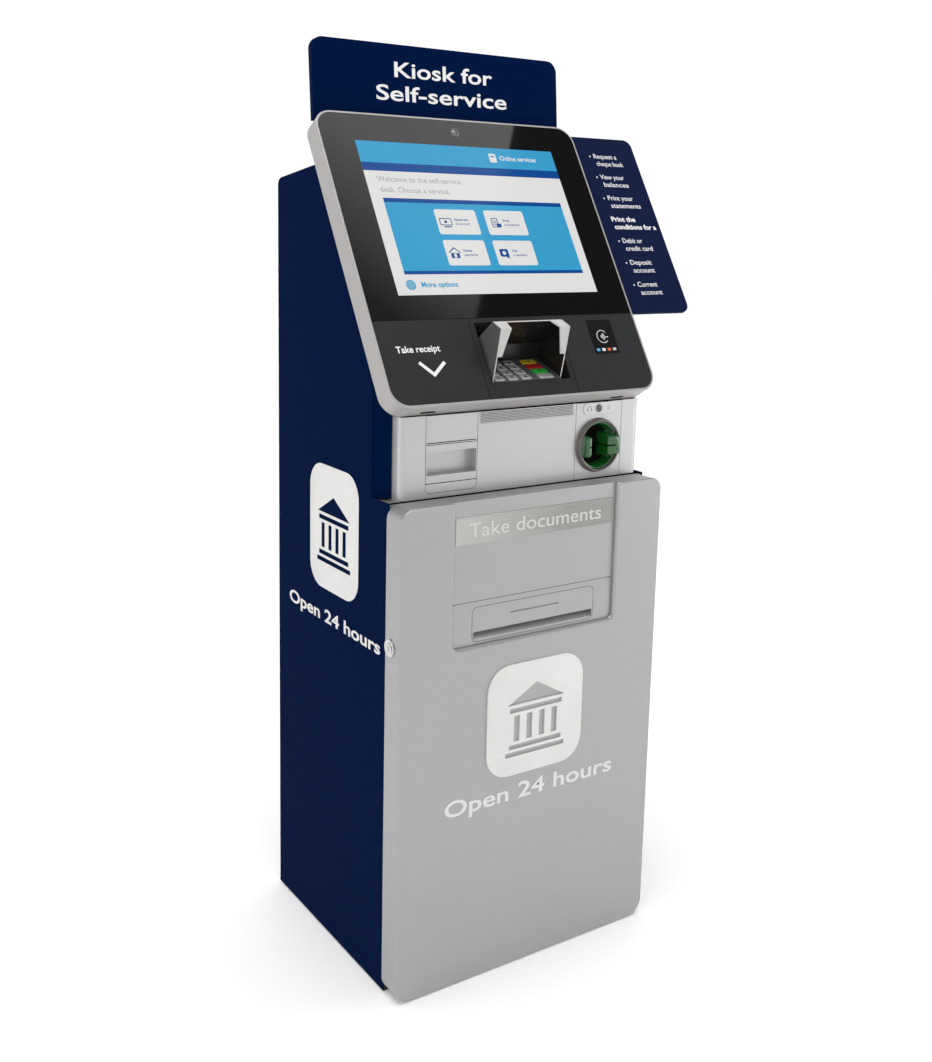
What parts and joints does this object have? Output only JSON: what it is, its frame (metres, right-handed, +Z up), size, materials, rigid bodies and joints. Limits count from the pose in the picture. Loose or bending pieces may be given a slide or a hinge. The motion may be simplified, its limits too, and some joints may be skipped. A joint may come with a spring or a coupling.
{
  "type": "self-service banking kiosk",
  "caption": "Floor-standing self-service banking kiosk: tilted touchscreen head, PIN pad with privacy shield, card reader, receipt and document outlets, hinged front door.",
  "frame": {"origin": "centre of the floor anchor bolt pattern, on the floor", "axes": "+X to the user's right, +Y to the rear, +Z up"},
  "size_m": [0.6785, 0.418, 1.473],
  "materials": {
    "silver_door": "satin metallic paint",
    "silver_paint": "satin metallic paint",
    "head_paint": "satin metallic paint",
    "navy_paint": "satin paint",
    "navy_sign": "satin",
    "black_steel": "powder coat",
    "brushed_plate": "brushed",
    "emblem_white": "satin",
    "bright_metal": "plated",
    "black_glass": "gloss",
    "fascia_black": "fine texture",
    "reader_black": "satin",
    "module_dark": "matte",
    "lens_glass": "gloss",
    "pinpad_metal": "satin",
    "shield_grey": "satin",
    "key_grey": "satin",
    "key_green": "satin",
    "key_red": "satin",
    "key_yellow": "satin",
    "card_green": "translucent gloss",
    "ring_grey": "satin",
    "socket_plate": "satin",
    "roll_paper": "matte"
  },
  "bodies": {
    "cabinet": {"mid_frame": "silver_paint", "receipt_bezel": "silver_paint", "speaker_grille": "silver_paint", "card_panel": "silver_paint", "left_side_panel": "navy_paint", "right_side_panel": "navy_paint", "rear_panel": "navy_paint", "top_cover": "navy_paint", "base_plinth": "black_steel", "inner_frame": "black_steel", "door_hinge_pins": "bright_metal", "document_printer": "module_dark", "pc_core": "module_dark", "card_reader": "module_dark", "receipt_printer": "module_dark", "fan_frame": "module_dark", "power_inlet": "module_dark", "card_guide": "card_green", "card_bezel_ring": "ring_grey", "audio_socket": "socket_plate"},
    "door": {"door_cover": "silver_door", "door_liner": "silver_paint", "document_panel": "silver_paint", "document_bezel": "silver_paint", "sign_plate": "brushed_plate", "door_emblem": "emblem_white", "door_hinge_leaves": "bright_metal", "lock_barrel": "bright_metal"},
    "lock": {"lock_plug": "bright_metal"},
    "head": {"head_shell": "head_paint", "display_glass": "black_glass", "fascia_left": "fascia_black", "fascia_centre": "fascia_black", "fascia_right": "fascia_black", "contactless_reader": "reader_black", "lcd_module": "module_dark", "camera_lens": "lens_glass", "pinpad_body": "pinpad_metal", "pin_shield": "shield_grey", "side_sign": "navy_sign", "topper_sign": "navy_sign"},
    "fan": {"fan_rotor": "module_dark"},
    "roll": {"paper_roll": "roll_paper"},
    "key_star": {"key_star": "key_grey"},
    "key_0": {"key_0": "key_grey"},
    "key_hash": {"key_hash": "key_grey"},
    "key_7": {"key_7": "key_grey"},
    "key_8": {"key_8": "key_grey"},
    "key_9": {"key_9": "key_grey"},
    "key_4": {"key_4": "key_grey"},
    "key_5": {"key_5": "key_grey"},
    "key_6": {"key_6": "key_grey"},
    "key_1": {"key_1": "key_grey"},
    "key_2": {"key_2": "key_grey"},
    "key_3": {"key_3": "key_grey"},
    "key_blank": {"key_blank": "key_grey"},
    "key_enter": {"key_enter": "key_green"},
    "key_cancel": {"key_cancel": "key_red"},
    "key_clear": {"key_clear": "key_yellow"}
  },
  "joints": [
    {"name": "front_door_swing", "type": "hinge", "parent": "cabinet", "child": "door", "pos_m": [0.254, -0.1635, 0.4], "axis": [0, 0, 1], "range_deg": [0, 105]},
    {"name": "door_lock_turn", "type": "hinge", "parent": "door", "child": "lock", "pos_m": [-0.25, -0.1795, 0.569], "axis": [-1, 0, 0], "range_deg": [0, 90]},
    {"name": "head_lift", "type": "hinge", "parent": "cabinet", "child": "head", "pos_m": [0, 0.07866, 1.28097], "axis": [-1, 0, 0], "range_deg": [0, 50]},
    {"name": "fan_spin", "type": "hinge", "parent": "cabinet", "child": "fan", "pos_m": [0.12, 0.1875, 0.346], "axis": [0, 1, 0], "continuous": true},
    {"name": "paper_roll_turn", "type": "hinge", "parent": "cabinet", "child": "roll", "pos_m": [-0.135, -0.0525, 0.838], "axis": [1, 0, 0], "continuous": true},
    {"name": "key_star_press", "type": "slide", "parent": "head", "child": "key_star", "axis": [0, 0.3518, -0.9361], "range_m": [0, 0.002], "stiffness_N_per_m": 500, "springref_m": -0.0004},
    {"name": "key_0_press", "type": "slide", "parent": "head", "child": "key_0", "axis": [0, 0.3518, -0.9361], "range_m": [0, 0.002], "stiffness_N_per_m": 500, "springref_m": -0.0004},
    {"name": "key_hash_press", "type": "slide", "parent": "head", "child": "key_hash", "axis": [0, 0.3518, -0.9361], "range_m": [0, 0.002], "stiffness_N_per_m": 500, "springref_m": -0.0004},
    {"name": "key_7_press", "type": "slide", "parent": "head", "child": "key_7", "axis": [0, 0.3518, -0.9361], "range_m": [0, 0.002], "stiffness_N_per_m": 500, "springref_m": -0.0004},
    {"name": "key_8_press", "type": "slide", "parent": "head", "child": "key_8", "axis": [0, 0.3518, -0.9361], "range_m": [0, 0.002], "stiffness_N_per_m": 500, "springref_m": -0.0004},
    {"name": "key_9_press", "type": "slide", "parent": "head", "child": "key_9", "axis": [0, 0.3518, -0.9361], "range_m": [0, 0.002], "stiffness_N_per_m": 500, "springref_m": -0.0004},
    {"name": "key_4_press", "type": "slide", "parent": "head", "child": "key_4", "axis": [0, 0.3518, -0.9361], "range_m": [0, 0.002], "stiffness_N_per_m": 500, "springref_m": -0.0004},
    {"name": "key_5_press", "type": "slide", "parent": "head", "child": "key_5", "axis": [0, 0.3518, -0.9361], "range_m": [0, 0.002], "stiffness_N_per_m": 500, "springref_m": -0.0004},
    {"name": "key_6_press", "type": "slide", "parent": "head", "child": "key_6", "axis": [0, 0.3518, -0.9361], "range_m": [0, 0.002], "stiffness_N_per_m": 500, "springref_m": -0.0004},
    {"name": "key_1_press", "type": "slide", "parent": "head", "child": "key_1", "axis": [0, 0.3518, -0.9361], "range_m": [0, 0.002], "stiffness_N_per_m": 500, "springref_m": -0.0004},
    {"name": "key_2_press", "type": "slide", "parent": "head", "child": "key_2", "axis": [0, 0.3518, -0.9361], "range_m": [0, 0.002], "stiffness_N_per_m": 500, "springref_m": -0.0004},
    {"name": "key_3_press", "type": "slide", "parent": "head", "child": "key_3", "axis": [0, 0.3518, -0.9361], "range_m": [0, 0.002], "stiffness_N_per_m": 500, "springref_m": -0.0004},
    {"name": "key_blank_press", "type": "slide", "parent": "head", "child": "key_blank", "axis": [0, 0.3518, -0.9361], "range_m": [0, 0.002], "stiffness_N_per_m": 500, "springref_m": -0.0004},
    {"name": "key_enter_press", "type": "slide", "parent": "head", "child": "key_enter", "axis": [0, 0.3518, -0.9361], "range_m": [0, 0.002], "stiffness_N_per_m": 500, "springref_m": -0.0004},
    {"name": "key_cancel_press", "type": "slide", "parent": "head", "child": "key_cancel", "axis": [0, 0.3518, -0.9361], "range_m": [0, 0.002], "stiffness_N_per_m": 500, "springref_m": -0.0004},
    {"name": "key_clear_press", "type": "slide", "parent": "head", "child": "key_clear", "axis": [0, 0.3518, -0.9361], "range_m": [0, 0.002], "stiffness_N_per_m": 500, "springref_m": -0.0004}
  ]
}
